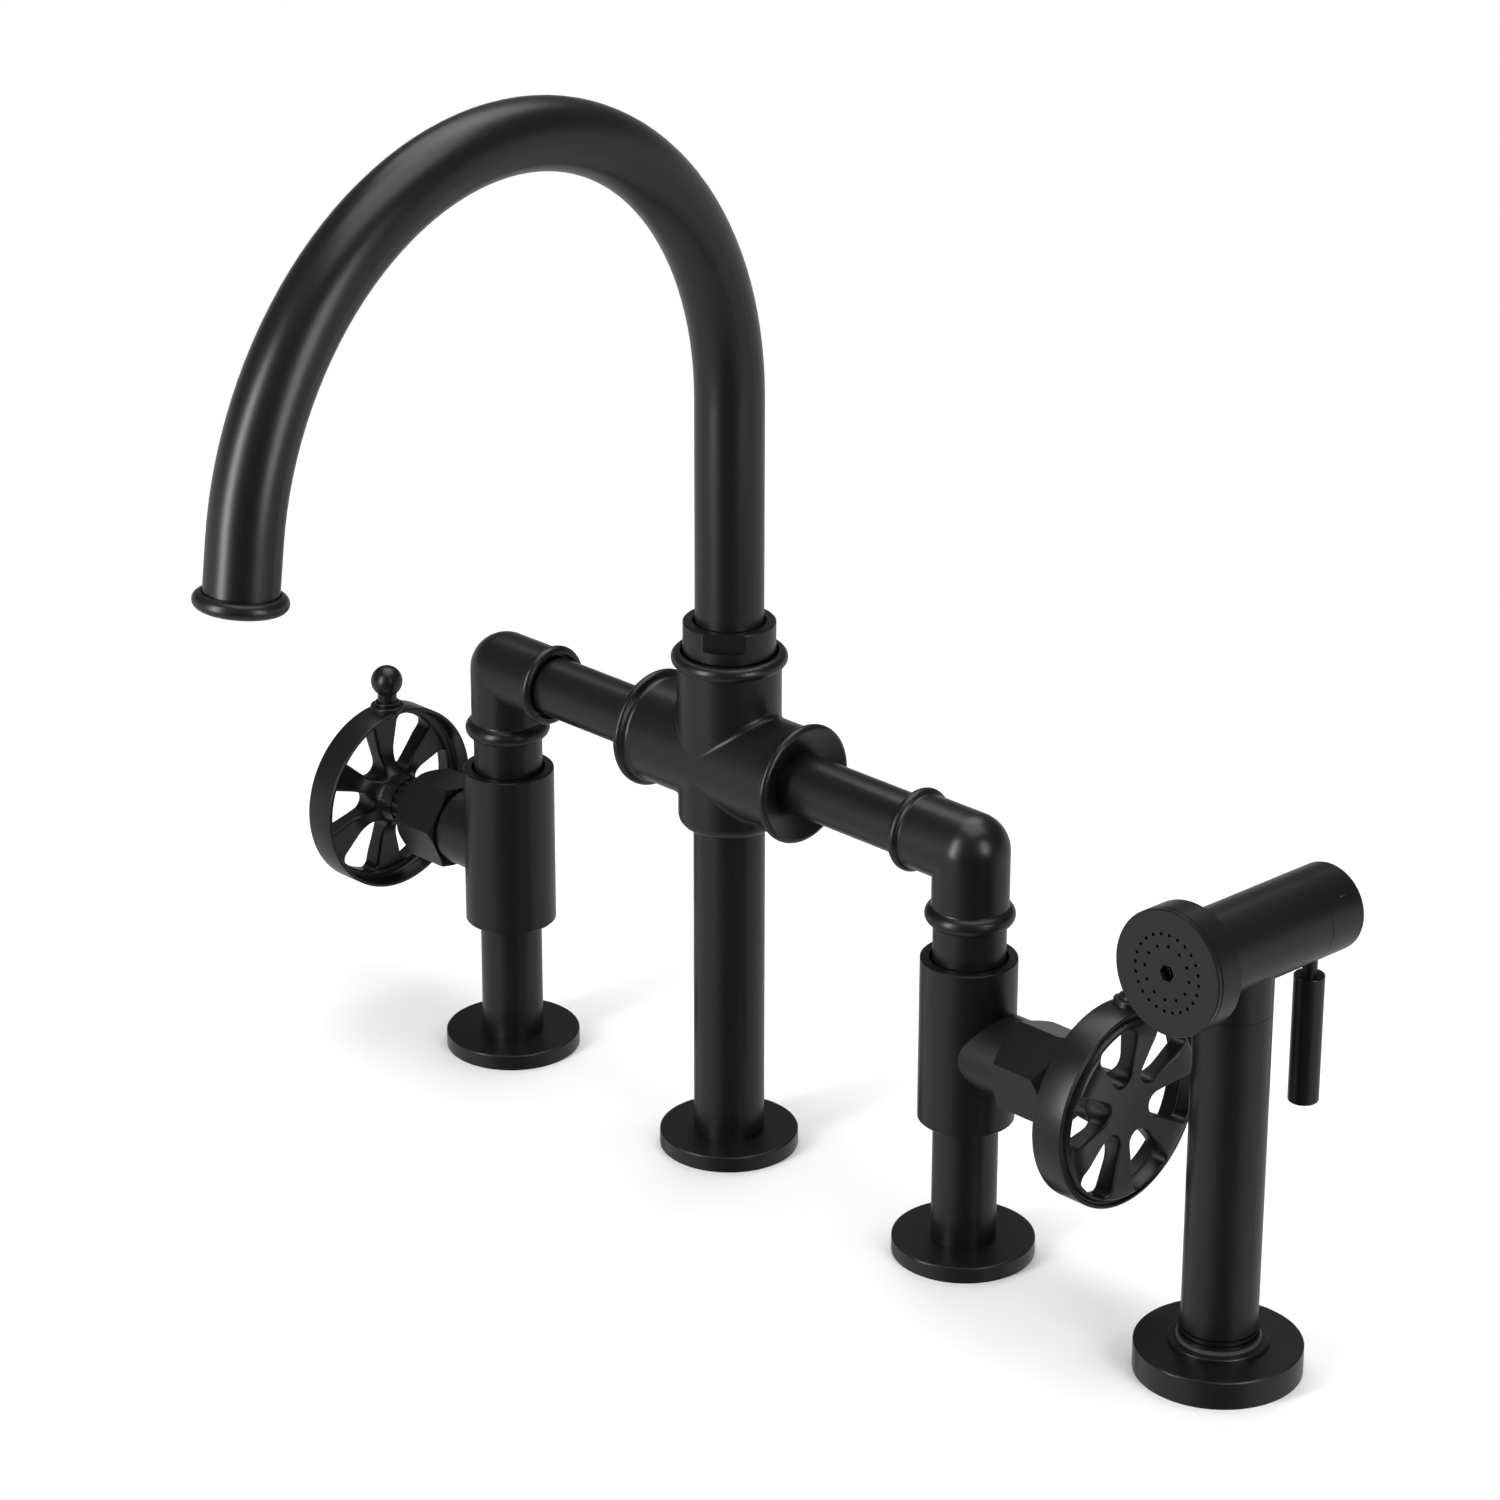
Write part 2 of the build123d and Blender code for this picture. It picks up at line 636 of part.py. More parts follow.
with BuildPart() as cross:
    ring(deck, cross_neck_r, 0, bridge_z, cross_top - rim_bead_round)
    ring(deck, cross_boss_r, 0, cross_bottom, bridge_z)
    ring(bridge_plane(1), cross_tube_r, 0, -side_collar_at, side_collar_at)
    fillet(cross.edges().filter_by(GeomType.BSPLINE), cross_blend)
    fillet(rims(cross, cross_boss_r).sort_by(Axis.Z)[0], cross_boss_round)
    for side_name, side in sides:
        collar_face = bridge_plane(side).offset(side_collar_at)
        lip(collar_face, cross_tube_r, side_collar_r, cross_blend, side_collar_round)
    bead(deck, rim_bead_r, cross_top - rim_bead_round, rim_bead_round)
    drill(deck, cross_bore, cross_bottom, cross_top)
    drill(deck, centre_leg_r + fit, cross_bottom, cross_bottom + leg_socket_depth)
    drill(deck, spout_r + run, spout_foot - axial_gap, cross_top)
    drill(deck, nut_tail_r + fit, nut_tail_bottom - clip_h - 2 * axial_gap, cross_top)
    drill(deck, rim_mouth_r, cross_top - rim_mouth_depth, cross_top)
    for side_name, side in sides:
        drill(bridge_plane(side), cross_bore, 0, side_collar_at)
        drill(bridge_plane(side), pipe_r + fit, pipe_start, side_collar_at)
        with BuildSketch(bridge_plane(side).offset(side_collar_at - dish_depth)) as dish_floor:
            Circle(pipe_r + fit)
        with BuildSketch(bridge_plane(side).offset(side_collar_at)) as dish_mouth:
            Circle(side_collar_r - side_collar_round)
        loft([dish_floor.sketch.face(), dish_mouth.sketch.face()], mode=Mode.SUBTRACT)
save(cross.part, "bridge_cross")

# ---- spout ---------------------------------------------------------------------------------------
with BuildPart() as spout_nut:
    ring(deck, nut_r, spout_r + run, nut_base, nut_top)
    ring(deck, nut_tail_r, spout_r + run, nut_tail_bottom, nut_base)
    chamfer(rims(spout_nut, nut_r), 0.4)
    drill(deck, nut_mouth_r, nut_top - nut_mouth_depth, nut_top)
    for turn in (0, 180):
        facing = radians(nut_flat_turn + turn)
        flat = Plane(
            origin=(nut_flat_at * sin(facing), -nut_flat_at * cos(facing), nut_top - nut_flat_h / 2),
            z_dir=(sin(facing), -cos(facing), 0),
        )
        with BuildSketch(flat):
            Rectangle(2 * nut_r, nut_flat_h)
        extrude(amount=nut_r, mode=Mode.SUBTRACT)
save(spout_nut.part, "spout_nut")

bend_end = (
    spout_bend_r * (1 - cos(radians(spout_bend))),
    spout_straight + spout_bend_r * sin(radians(spout_bend)),
)
tail_way = (sin(radians(spout_bend)), cos(radians(spout_bend)))
tail_end = (bend_end[0] + spout_tail * tail_way[0], bend_end[1] + spout_tail * tail_way[1])
outlet = Plane(
    origin=spout_plane.from_local_coords((tail_end[0], tail_end[1], 0)),
    z_dir=spout_plane.from_local_coords((tail_way[0], tail_way[1], 0)),
)
with BuildPart() as spout:
    with BuildLine(spout_plane) as spout_path:
        Line((0, spout_foot), (0, spout_straight))
        CenterArc((spout_bend_r, spout_straight), spout_bend_r, 180, -spout_bend)
        Line(bend_end, tail_end)
    with BuildSketch(deck.offset(spout_foot)):
        Circle(spout_r)
        Circle(spout_r - spout_wall, mode=Mode.SUBTRACT)
    sweep(path=spout_path.wire())
    ring(deck, spout_r - spout_wall, spout_r - spout_foot_wall, spout_foot, spout_foot + spout_foot_length)
    groove_r = spout_r + run - o_ring_slack - 2 * o_ring_r - fit
    for height in o_ring_heights:
        half_groove = o_ring_r + wall_gap
        ring(deck, spout_r, groove_r, height - half_groove, height + half_groove, Mode.SUBTRACT)
    clip_z = nut_tail_bottom - axial_gap - clip_h
    ring(deck, spout_r, spout_r - clip_groove, clip_z - fit, clip_z + clip_h + fit, Mode.SUBTRACT)
save(spout.part, "spout")

with BuildPart() as spout_clip:
    ring(deck, clip_r, spout_r - clip_groove + fit, clip_z, clip_z + clip_h)
    with BuildSketch(deck.offset(clip_z)):
        with Locations((0, spout_r)):
            Rectangle(clip_gap, 2 * (clip_r - spout_r) + 2)
    extrude(amount=clip_h, mode=Mode.SUBTRACT)
save(spout_clip.part, "spout_clip")

with BuildPart() as spout_o_rings:
    for height in o_ring_heights:
        bead(deck, spout_r + run - o_ring_slack, height, o_ring_r)
save(spout_o_rings.part, "spout_o_rings")

ring_top = outlet.offset(-aerator_lap)
with BuildPart() as aerator_ring:
    ring(ring_top, aerator_neck_r, insert_r + fit, 0, aerator_h)
    bead(ring_top, aerator_r, aerator_h / 2, aerator_h / 2)
    drill(ring_top, spout_r + aerator_gap, 0, aerator_lap)
    ring(outlet, spout_r - spout_wall - fit, insert_r + fit, -aerator_thread_length, 0)
    drill(outlet, insert_r + fit, -aerator_thread_length, aerator_h)
save(aerator_ring.part, "aerator_ring")

insert_start = aerator_h - 1.2 - insert_h
with BuildPart() as aerator_insert:
    ring(ring_top, insert_r, 0, insert_start, insert_start + insert_h)
    with BuildSketch(ring_top.offset(insert_start)):
        with PolarLocations(insert_r - 2.0, insert_holes - 6):
            Circle(insert_hole_r)
        with PolarLocations(insert_r / 2.4, 6):
            Circle(insert_hole_r)
    extrude(amount=insert_h, mode=Mode.SUBTRACT)
save(aerator_insert.part, "aerator_insert")

# ---- sprayer holder and handle -------------------------------------------------------------------
with BuildPart() as sprayer_holder:
    ring(spray_deck, holder_r, holder_bore, spray_flange_h, holder_top)
    fillet(rims(sprayer_holder, holder_r).sort_by(Axis.Z)[-1], 0.4)
    ring(spray_deck, holder_shank_r, holder_bore, -holder_length, spray_flange_h)
save(sprayer_holder.part, "sprayer_holder")

bush_seat = holder_top + wall_gap
with BuildPart() as holder_bush:
    ring(spray_deck, bush_r, bush_r - bush_wall, bush_seat - bush_length, bush_seat)
    ring(spray_deck, bush_rim_r, bush_r - bush_wall, bush_seat, bush_seat + bush_rim_h)
save(holder_bush.part, "holder_bush")

neck_bottom = bush_seat + bush_rim_h + wall_gap
with BuildPart() as sprayer_foot:
    ring(spray_deck, foot_r, hose_bore, neck_bottom - foot_depth, neck_bottom)
    ring(spray_deck, foot_r + 1, hose_bore, neck_bottom, grip_bottom)
    for radius, bottom, height in neck_rings:
        ring(spray_deck, radius, hose_bore, bottom, bottom + height)
    ring(spray_deck, grip_r - grip_wall - fit, hose_bore, grip_bottom, grip_bottom + foot_spigot_length)
    tail_top = neck_bottom - foot_depth
    ring(spray_deck, hose_tail_r, hose_bore, tail_top - hose_tail_length, tail_top)
save(sprayer_foot.part, "sprayer_foot")

with BuildPart() as sprayer_grip:
    ring(spray_deck, grip_r, grip_r - grip_wall, grip_bottom, grip_top)
    chamfer(rims(sprayer_grip, grip_r), 0.2)
save(sprayer_grip.part, "sprayer_grip")

# ---- spray head --------------------------------------------------------------------------------
with BuildPart() as spray_head:
    ring(head_axis, head_r, 0, head_seam, face_start)
    ring(spray_deck, grip_r, 0, grip_top, head_z)
    ring(head_axis, face_r, 0, face_start, face_seam)
    chamfer(rims(spray_head, face_r).sort_by(Axis.Y)[0], face_edge)
    ring(spray_deck, grip_r - grip_wall - fit, 0, grip_top - neck_spigot_length, grip_top)
    drill(spray_deck, head_neck_bore, grip_top - neck_spigot_length, head_z)
    drill(head_axis, head_bore, head_seam, valve_seat_at)
    drill(head_axis, rear_spigot_r + fit, head_seam, head_seam + rear_spigot_length)
    drill(head_axis, valve_seat_r, valve_seat_at, face_seam)
    drill(head_axis, head_bore, valve_seat_at + valve_seat_h, face_seam)
    drill(head_axis, face_chamber_r, face_seam - face_chamber_depth, face_seam)
save(spray_head.part, "spray_head")

with BuildPart() as spray_face:
    ring(head_axis, face_r, 0, face_seam, face_end)
    chamfer(rims(spray_face, face_r), face_edge)
    ring(head_axis, face_chamber_r - fit, face_chamber_r - 1.2, face_seam - 2.5, face_seam)
    with BuildSketch(head_axis.offset(face_seam)):
        for count, pitch_r in spray_rings:
            with PolarLocations(pitch_r, count):
                Circle(spray_hole_r)
        RegularPolygon(key_flats / 2, 6, major_radius=False)
    extrude(amount=face_end - face_seam, mode=Mode.SUBTRACT)
save(spray_face.part, "spray_face")

# lever geometry: the pivot lies above the head's axis, straight over the hanging rod
axis_z_at_lever = head_z - lever_at * tan(radians(head_tilt))
pivot_z = axis_z_at_lever + pivot_rise
lever_axis = Plane(origin=(spray_x, lever_at, 0), z_dir=(0, 0, 1))
pivot_plane = Plane(origin=(spray_x, lever_at, pivot_z), x_dir=(0, 1, 0), z_dir=(1, 0, 0))
lever_u = -lever_at / cos(radians(head_tilt))
slot_reach = (pivot_rise + head_r) * tan(radians(lever_swing))
slot_front = lever_at - slot_reach - lever_stub_r - axial_gap
slot_back = lever_at + lever_stub_r + axial_gap
with BuildPart() as spray_rear:
    ring(head_axis, head_r, 0, head_rear, head_seam)
    fillet(rims(spray_rear, head_r).sort_by(Axis.Y)[-1], head_rear_round)
    chamfer(rims(spray_rear, head_r).sort_by(Axis.Y)[0], 0.25)
    ring(head_axis, rear_spigot_r, 0, head_seam, head_seam + rear_spigot_length)
    drill(head_axis, rear_cavity_r, head_rear + 1.6, head_seam - 1.0)
    drill(head_axis, plunger_r + run, head_seam - 2, head_seam + rear_spigot_length)
    with BuildSketch(Plane(origin=(spray_x, (slot_front + slot_back) / 2, lever_top), z_dir=(0, 0, 1))):
        Rectangle(2 * (lever_stub_r + axial_gap), slot_back - slot_front)
    extrude(amount=axis_z_at_lever - lever_top, mode=Mode.SUBTRACT)
    ring(pivot_plane, pin_r + 1.2, 0, -pin_length / 2, pin_length / 2)
    drill(pivot_plane, pin_r + 2.5, -lever_eye_h / 2 - axial_gap, lever_eye_h / 2 + axial_gap)
    drill(pivot_plane, lever_eye_r + axial_gap, -lever_eye_h / 2 - axial_gap, lever_eye_h / 2 + axial_gap)
    drill(pivot_plane, pin_r + fit, -pin_length / 2, pin_length / 2)
save(spray_rear.part, "spray_rear")

with BuildPart() as lever_pin:
    ring(pivot_plane, pin_r, 0, -pin_length / 2, pin_length / 2)
save(lever_pin.part, "lever_pin")

with BuildPart() as lever:
    ring(lever_axis, lever_r, 0, lever_bottom, lever_top)
    fillet(rims(lever, lever_r), lever_edge)
    ring(lever_axis, lever_stub_r, 0, lever_top, pivot_z)
    ring(pivot_plane, lever_eye_r, 0, -lever_eye_h / 2, lever_eye_h / 2)
    drill(pivot_plane, pin_r + run, -lever_eye_h / 2, lever_eye_h / 2)
save(lever.part, "lever")

plunger_rear = lever_u + lever_stub_r + axial_gap
poppet_at = valve_seat_at + valve_seat_h + fit
with BuildPart() as plunger:
    ring(head_axis, plunger_r, 0, plunger_rear + plunger_r, poppet_at)
    with Locations(head_axis.offset(plunger_rear + plunger_r).origin):
        Sphere(plunger_r)
    ring(head_axis, poppet_r, 0, poppet_at, poppet_at + poppet_h)
save(plunger.part, "plunger")

spring_start = poppet_at + poppet_h + spring_wire_r
spring_length = face_seam - spring_wire_r - spring_start
with BuildPart() as plunger_spring:
    with BuildLine() as coil:
        Helix(
            pitch=spring_length / spring_turns,
            height=spring_length,
            radius=spring_r,
            center=head_axis.offset(spring_start).origin,
            direction=head_axis.z_dir,
        )
    with BuildSketch(Plane(origin=coil.wire() @ 0, z_dir=coil.wire() % 0)):
        RegularPolygon(spring_wire_r, 6)
    sweep(path=coil.wire(), is_frenet=True)
save(plunger_spring.part, "plunger_spring")
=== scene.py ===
import bpy
import bmesh
import json
from math import asin, cos, hypot, pi, radians, sin, sqrt
from mathutils import Matrix, Vector
from mathutils.geometry import delaunay_2d_cdt


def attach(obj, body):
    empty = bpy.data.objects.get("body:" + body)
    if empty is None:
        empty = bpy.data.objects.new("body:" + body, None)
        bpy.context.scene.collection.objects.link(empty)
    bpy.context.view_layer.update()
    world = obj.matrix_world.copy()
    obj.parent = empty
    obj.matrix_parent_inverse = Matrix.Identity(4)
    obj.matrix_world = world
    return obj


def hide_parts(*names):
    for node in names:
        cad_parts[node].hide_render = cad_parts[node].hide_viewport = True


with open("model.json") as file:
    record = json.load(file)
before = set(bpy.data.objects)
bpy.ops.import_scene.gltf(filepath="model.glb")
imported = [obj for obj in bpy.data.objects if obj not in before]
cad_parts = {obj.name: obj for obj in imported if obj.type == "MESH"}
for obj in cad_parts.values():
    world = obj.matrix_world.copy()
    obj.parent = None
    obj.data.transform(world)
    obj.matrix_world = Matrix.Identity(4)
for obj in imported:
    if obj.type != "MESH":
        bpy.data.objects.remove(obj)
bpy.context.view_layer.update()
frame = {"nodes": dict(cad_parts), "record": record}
nodes = frame["nodes"]
scene = bpy.context.scene
mm = 0.001
print("frame loaded:", len(nodes), "nodes")


# node trees as Python expressions
class Wire:
    def __init__(self, tree, socket):
        self.tree = tree
        self.socket = socket

    def join(self, operation, first, second):
        return self.tree.add("ShaderNodeMath", {"operation": operation}, {0: first, 1: second})

    def __add__(self, other):
        return self.join("ADD", self, other)

    def __radd__(self, other):
        return self.join("ADD", other, self)

    def __sub__(self, other):
        return self.join("SUBTRACT", self, other)

    def __rsub__(self, other):
        return self.join("SUBTRACT", other, self)

    def __mul__(self, other):
        return self.join("MULTIPLY", self, other)

    def __rmul__(self, other):
        return self.join("MULTIPLY", other, self)

    def __truediv__(self, other):
        return self.join("DIVIDE", self, other)

    def __rtruediv__(self, other):
        return self.join("DIVIDE", other, self)

    def larger(self, other):
        return self.join("MAXIMUM", self, other)

    def out(self, name):
        return Wire(self.tree, self.socket.node.outputs[name])


class Tree:
    def __init__(self, tree):
        self.tree = tree

    def add(self, kind, settings=None, links=None, out=0):
        node = self.tree.nodes.new(kind)
        for name, value in (settings or {}).items():
            setattr(node, name, value)
        for name, value in (links or {}).items():
            if isinstance(value, Wire):
                self.tree.links.new(value.socket, node.inputs[name])
            else:
                node.inputs[name].default_value = value
        return Wire(self, node.outputs[out]) if node.outputs else node

    def noise(self, place, scale, detail, rough=0.5):
        links = {"Vector": place, "Scale": scale, "Detail": detail, "Roughness": rough}
        return self.add("ShaderNodeTexNoise", {}, links)

    def stretch(self, place, scales):
        return self.add("ShaderNodeMapping", {}, {"Vector": place, "Scale": scales})

    def mix(self, mask, low, high):
        return self.add("ShaderNodeMix", {"data_type": "RGBA"}, {"Factor": mask, 6: low, 7: high}, out=2)

    def bump(self, height, strength, depth):
        return self.add("ShaderNodeBump", {}, {"Strength": strength, "Distance": depth, "Height": height})

    def ease(self, value, low, high):
        links = {"Value": value, "From Min": low, "From Max": high}
        return self.add("ShaderNodeMapRange", {"interpolation_type": "SMOOTHSTEP"}, links)

    def shade(self, sockets):
        shader = self.add("ShaderNodeBsdfPrincipled", {}, sockets)
        self.add("ShaderNodeOutputMaterial", {}, {"Surface": shader})


def newMaterial(name):
    material = bpy.data.materials.new(name)
    material.use_nodes = True
    material.node_tree.nodes.clear()
    return material, Tree(material.node_tree)


# finishes: grain, cloud and stroke scales are per metre, bump depths in metres
blackLook = {
    "dark": (0.0042, 0.0041, 0.0039, 1),      # the coating in its darker flecks
    "pale": (0.0082, 0.0079, 0.0074, 1),
    "grain": 2600,
    "strokes": (500, 500, 9000),   # level marks, as turning leaves them
    "strokeShare": 0.65,           # of the grain, on the pieces with strokes
    "cloud": 26,
    "cloudShare": 0.4,             # of the changes in colour, where the rest is grain
    "gloss": 0.33,
    "cloudGloss": 0.10,
    "grainGloss": 0.12,
    "specular": 0.42,
    "bump": 0.10,
    "depth": 0.00006,
}


def blackCoat(name, stroked=False):
    # satin black coating with a fine grain
    look = blackLook
    material, tree = newMaterial(name)
    place = tree.add("ShaderNodeTexCoord", out="Object")
    grain = tree.noise(place, look["grain"], 2.0)
    cloud = tree.noise(place, look["cloud"], 3.0)
    if stroked:
        strokes = tree.noise(tree.stretch(place, look["strokes"]), 1.0, 4.0, rough=0.6)
        grain = grain * (1 - look["strokeShare"]) + strokes * look["strokeShare"]
    mask = grain * (1 - look["cloudShare"]) + cloud * look["cloudShare"]
    rough = look["gloss"] + (cloud - 0.5) * look["cloudGloss"] + (grain - 0.5) * look["grainGloss"]
    tree.shade(
        {
            "Base Color": tree.mix(mask, look["dark"], look["pale"]),
            "Roughness": rough,
            "Specular IOR Level": look["specular"],
            "Normal": tree.bump(grain, look["bump"], look["depth"]),
        }
    )
    return material


metalLook = {
    "turnedBrass": {
        "dark": (0.50, 0.35, 0.14, 1),
        "pale": (0.72, 0.55, 0.27, 1),
        "gloss": 0.24,
        "strokes": (900, 900, 7000),
    },
    "plainSteel": {
        "dark": (0.42, 0.42, 0.43, 1),
        "pale": (0.62, 0.62, 0.63, 1),
        "gloss": 0.25,
        "strokes": (1500, 1500, 1500),
    },
    "cloud": 60,                   # from here on for both metals
    "cloudShare": 0.5,
    "strokeGloss": 0.15,
    "bump": 0.15,
    "depth": 0.00005,
}


def bareMetal(name):
    look = metalLook
    metal = look[name]
    material, tree = newMaterial(name)
    place = tree.add("ShaderNodeTexCoord", out="Object")
    strokes = tree.noise(tree.stretch(place, metal["strokes"]), 1.0, 5.0)
    cloud = tree.noise(place, look["cloud"], 3.0)
    mask = strokes * (1 - look["cloudShare"]) + cloud * look["cloudShare"]
    tree.shade(
        {
            "Base Color": tree.mix(mask, metal["dark"], metal["pale"]),
            "Metallic": 1.0,
            "Roughness": metal["gloss"] + strokes * look["strokeGloss"],
            "Normal": tree.bump(strokes, look["bump"], look["depth"]),
        }
    )
    return material


mouldedLook = {
    "blackRubber": {
        "dark": (0.016, 0.016, 0.017, 1),
        "pale": (0.026, 0.026, 0.028, 1),
        "gloss": 0.70,
        "grain": 1800,
    },
    "ceramic": {
        "dark": (0.78, 0.77, 0.72, 1),
        "pale": (0.86, 0.85, 0.81, 1),
        "gloss": 0.22,
        "grain": 900,
    },
    "nylon": {
        "dark": (0.05, 0.05, 0.055, 1),
        "pale": (0.075, 0.075, 0.08, 1),
        "gloss": 0.45,
        "grain": 1500,
    },
    "grainGloss": 0.1,             # from here on for all three
    "bump": 0.2,
    "depth": 0.00004,
}


def moulded(name):
    # a fine even skin
    look = mouldedLook
    stuff = look[name]
    material, tree = newMaterial(name)
    place = tree.add("ShaderNodeTexCoord", out="Object")
    grain = tree.noise(place, stuff["grain"], 2.0)
    tree.shade(
        {
            "Base Color": tree.mix(grain, stuff["dark"], stuff["pale"]),
            "Roughness": stuff["gloss"] + (grain - 0.5) * look["grainGloss"],
            "Normal": tree.bump(grain, look["bump"], look["depth"]),
        }
    )
    return material


finishes = {
    "black_coat": blackCoat("blackCoat"),
    "bare_brass": bareMetal("turnedBrass"),
    "steel": bareMetal("plainSteel"),
    "black_rubber": moulded("blackRubber"),
    "ceramic": moulded("ceramic"),
    "nylon": moulded("nylon"),
}
turnedCoat = blackCoat("turnedCoat", stroked=True)
strokedPieces = ("sprayer_grip", "lever", "sprayer_foot")
slots = {entry["node"]: entry["material_slot"] for entry in frame["record"]["subparts"]}
for name, piece in nodes.items():
    piece.data.materials.clear()
    piece.data.materials.append(turnedCoat if name in strokedPieces else finishes[slots[name]])
print("finishes set")


# handwheels, in millimetres: one spoke sector, soft at the edges of its opening, repeated round the hub
wheelShape = {
    "rimRadius": 31.4,
    "rimWall": 1.1,
    "rimSpan": (53.7, 64.7),       # along the axis, from the middle of the leg
    "rimRound": 0.5,
    "innerRound": 0.3,             # rounding of the rim's inner edges
    "hubRadius": 8.3,
    "hubAt": 49.6,
    "dishEnd": 22.0,               # radius where the dish in the web's outer face ends
    "dish": (-0.3, 0.35, 1.85),    # its height over the rim's edge: in the middle, halfway out, at its end
    "crest": (25.0, 2.05),         # radius of the web's crest and its height over the rim's edge
    "shoulder": (27.6, 1.7),       # likewise where the crest turns down
    "flank": (28.5, 0.75),         # likewise about halfway down to the cove
    "cove": (28.9, 0.35, 0.95),    # where the cove inside the rim starts, its start's depth and its own
    "webBack": 6.6,                # the web's rear face, from the rim's valve side
    "fillet": ((3.2, 0.0), (0.6, 0.8), (0.0, 2.4)),      # rear corner: in from the rim, down from the web
    "flare": 9.9,                  # radius of the curve from the web down to the hub
    "flareShare": 0.93,            # of that radius, what lies outside the hub
    "spokes": 6,
    "spread": 18.6,                # degrees between an opening's middle line and its sides
    "apex": 0.87,                  # where those sides would meet, from the axis
    "tipRound": 3.9,
    "cornerRound": 2.6,
    "rimGap": 2.5,                 # web and cove left between an opening and the rim's inner side
    "edge": 0.8,                   # rounding of the openings' edges
    "lean": {"left": 0.0, "right": 10.6},     # degrees each wheel is turned back at rest
    "axisHeight": 72.0,
    "legAt": 101.6,
    "hubRings": (0, 2, 4, 6, 7.4, 8.28, 8.32, 8.7, 9.2, 9.7, 10.3),     # radii of the web's mesh points
    "webRings": (11, 0.8, 21),     # more of them: first radius, distance apart, count
    "crestRings": (27.3, 0.2, 15),
    "pitch": 0.9,                  # between the points on a ring, up to the radius denseFrom
    "denseFrom": 20,
    "arcSteps": 24,                # round one sector, on the rim and the rings outside denseFrom
    "loopSteps": {"tip": 16, "side": 10, "corner": 9, "end": 8},
    "edgeSteps": 6,
    "wallSteps": 4,
    "roundSteps": 4,
    "clearance": 0.05,             # ring points stay this far from an opening's rounded edge
    "sliver": 0.00005,             # triangles of less area on the sector's straight sides are left out
    "weld": 0.002,
    "sharp": 40,                   # degrees from which a corner stays sharp
}


def arcThrough(first, middle, last):
    # height of the circle through three points as a function of the radius
    (ax, ay), (bx, by), (cx, cy) = first, middle, last
    turn = 2 * (ax * (by - cy) + bx * (cy - ay) + cx * (ay - by))
    sa, sb, sc = ax * ax + ay * ay, bx * bx + by * by, cx * cx + cy * cy
    x = (sa * (by - cy) + sb * (cy - ay) + sc * (ay - by)) / turn
    y = (sa * (cx - bx) + sb * (ax - cx) + sc * (bx - ax)) / turn
    size = hypot(ax - x, ay - y)
    sign = 1 if by > y else -1
    return lambda r: y + sign * sqrt(max(size * size - (r - x) ** 2, 0))


def rimInside(shape):
    return shape["rimRadius"] - shape["rimWall"]


def outerFace(shape):
    # the web's outer face as heights along the axis: dish, crest, flank and cove
    inner = rimInside(shape)
    rimEdge = shape["rimSpan"][1]
    dishEnd = shape["dishEnd"]
    middle, halfway, end = (rimEdge + rise for rise in shape["dish"])
    crestAt, crestRise = shape["crest"]
    shoulderAt, shoulderRise = shape["shoulder"]
    flankAt, flankRise = shape["flank"]
    coveAt, coveStart, coveDepth = shape["cove"]
    shoulder = (shoulderAt, rimEdge + shoulderRise)
    coveEdge = (coveAt, rimEdge - coveStart)
    coveFloor = ((coveAt + inner) / 2, rimEdge - coveDepth)
    dish = arcThrough((0, middle), (dishEnd / 2, halfway), (dishEnd, end))
    crest = arcThrough((dishEnd, end), (crestAt, rimEdge + crestRise), shoulder)
    flank = arcThrough(shoulder, (flankAt, rimEdge + flankRise), coveEdge)
    cove = arcThrough(coveEdge, coveFloor, (inner, rimEdge - coveStart))

    def height(r):
        if r < dishEnd:
            return dish(r)
        if r < shoulderAt:
            return crest(r)
        return flank(r) if r < coveAt else cove(r)

    return height


def rearFace(shape):
    # the web's valve side as heights along the axis: hub, flare, flat web and the fillet into the rim
    inner = rimInside(shape)
    back = shape["rimSpan"][0] + shape["webBack"]
    flare = shape["flare"]
    flareEnd = shape["hubRadius"] + shape["flareShare"] * flare
    corner = [(inner - inwards, back - down) for inwards, down in shape["fillet"]]
    fillet = arcThrough(*corner)

    def height(r):
        if r < shape["hubRadius"]:
            return shape["hubAt"]
        if r < flareEnd:
            return back - flare + sqrt(flare * flare - (flareEnd - r) ** 2)
        return back if r < corner[0][0] else fillet(r)

    return height


